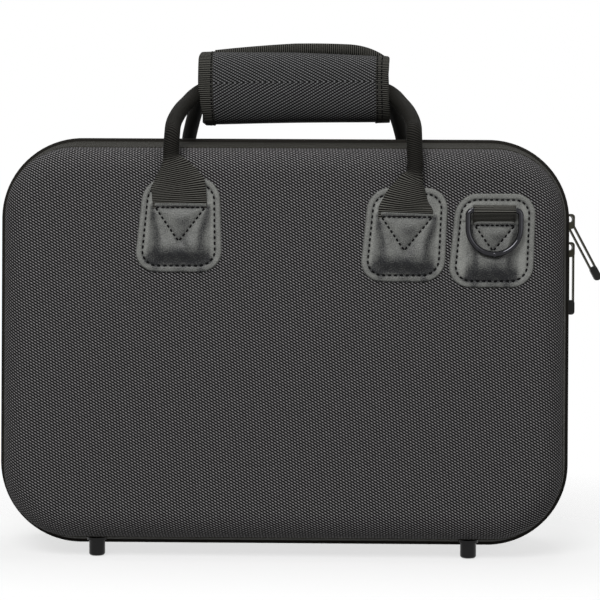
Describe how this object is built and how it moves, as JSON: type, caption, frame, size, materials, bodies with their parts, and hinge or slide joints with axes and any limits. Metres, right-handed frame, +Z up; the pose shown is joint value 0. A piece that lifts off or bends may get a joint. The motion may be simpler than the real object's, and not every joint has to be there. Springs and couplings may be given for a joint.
{
  "type": "clarinet case",
  "caption": "Zip-around moulded case for a dismantled clarinet, with a wrap-round carry handle, leather patches and rings for a shoulder strap.",
  "frame": {"origin": "on the floor under the middle of the case, in the plane of the zip", "axes": "+Z up, -Y the front with the lid, +X to the right, where the zip sliders are"},
  "size_m": [0.3733, 0.1294, 0.3132],
  "materials": {
    "nylon_cover": "coarse woven nylon, diagonal, over foam",
    "shell_core": "compression-moulded foam shell",
    "plush_lining": "short black plush",
    "rim_binding": "smooth folded binding tape",
    "zip_tape": "woven zip tape",
    "zip_coil": "nylon coil",
    "bare_steel": "plain steel",
    "gloss_foot": "glossy moulded foot",
    "leather": "grey grained leather with a row of stitches",
    "webbing": "ribbed nylon webbing",
    "dark_nickel": "dark nickel-plated steel wire",
    "zip_metal": "dark nickel-plated zinc",
    "pull_tip": "soft moulded tip",
    "grip_nylon": "herringbone nylon over foam",
    "grip_tape": "ribbed binding tape",
    "hook_and_loop": "hook and loop strip"
  },
  "bodies": {
    "base": {"base_binding": "rim_binding", "base_core": "shell_core", "base_cover": "nylon_cover", "base_feet": "gloss_foot", "base_foot_screws": "bare_steel", "base_handle_tabs": "webbing", "base_hinge_leaf": "nylon_cover", "base_left_patch": "leather", "base_lining": "plush_lining", "base_right_patch": "leather", "base_ring_loop": "webbing", "base_ring_patch": "leather", "base_zip_coil": "zip_coil", "base_zip_stops": "bare_steel", "base_zip_tape": "zip_tape", "insert_tray": "plush_lining"},
    "lid": {"lid_binding": "rim_binding", "lid_core": "shell_core", "lid_cover": "nylon_cover", "lid_feet": "gloss_foot", "lid_foot_screws": "bare_steel", "lid_handle_tabs": "webbing", "lid_hinge_leaf": "nylon_cover", "lid_left_patch": "leather", "lid_lining": "plush_lining", "lid_pad": "plush_lining", "lid_right_patch": "leather", "lid_ring_loop": "webbing", "lid_ring_patch": "leather", "lid_zip_coil": "zip_coil", "lid_zip_stops": "bare_steel", "lid_zip_tape": "zip_tape"},
    "front_handle": {"lid_grip_fastener": "hook_and_loop", "lid_grip_pad": "grip_nylon", "lid_grip_tapes": "grip_tape", "lid_strap": "webbing"},
    "rear_handle": {"base_grip_fastener": "hook_and_loop", "base_grip_pad": "grip_nylon", "base_grip_tapes": "grip_tape", "base_strap": "webbing"},
    "front_d_ring": {"lid_d_ring": "dark_nickel"},
    "rear_d_ring": {"base_d_ring": "dark_nickel"},
    "upper_slider": {"upper_slider": "zip_metal"},
    "upper_pull": {"upper_pull_loop": "zip_metal", "upper_pull_tip": "pull_tip"},
    "lower_slider": {"lower_slider": "zip_metal"},
    "lower_pull": {"lower_pull_loop": "zip_metal", "lower_pull_tip": "pull_tip"}
  },
  "joints": [
    {"name": "lid_hinge", "type": "hinge", "parent": "base", "child": "lid", "pos_m": [0, 0, 0.0035], "axis": [1, 0, 0], "range_deg": [0, 140]},
    {"name": "front_handle_hinge", "type": "hinge", "parent": "lid", "child": "front_handle", "pos_m": [-0.0612, -0.0588, 0.2113], "axis": [0.9993, 0, -0.0376], "range_deg": [0, 155]},
    {"name": "rear_handle_hinge", "type": "hinge", "parent": "base", "child": "rear_handle", "pos_m": [-0.0612, 0.0588, 0.2113], "axis": [-0.9993, 0, 0.0376], "range_deg": [0, 155]},
    {"name": "front_d_ring_hinge", "type": "hinge", "parent": "lid", "child": "front_d_ring", "pos_m": [0.1236, -0.0608, 0.2078], "axis": [-1, 0, 0], "range_deg": [0, 160]},
    {"name": "rear_d_ring_hinge", "type": "hinge", "parent": "base", "child": "rear_d_ring", "pos_m": [-0.1236, 0.0608, 0.2078], "axis": [1, 0, 0], "range_deg": [0, 160]},
    {"name": "upper_slider_run", "type": "hinge", "parent": "base", "child": "upper_slider", "pos_m": [0.126, 0, 0.2045], "axis": [0, -1, 0], "range_deg": [0, 90]},
    {"name": "lower_slider_run", "type": "slide", "parent": "base", "child": "lower_slider", "axis": [0, 0, -1], "range_m": [0, 0.122]},
    {"name": "upper_pull_hinge", "type": "hinge", "parent": "upper_slider", "child": "upper_pull", "pos_m": [0.17825, 0, 0.2015], "axis": [0, -1, 0], "range_deg": [0, 130]},
    {"name": "lower_pull_hinge", "type": "hinge", "parent": "lower_slider", "child": "lower_pull", "pos_m": [0.17825, 0, 0.184], "axis": [0, -1, 0], "range_deg": [0, 30]}
  ]
}
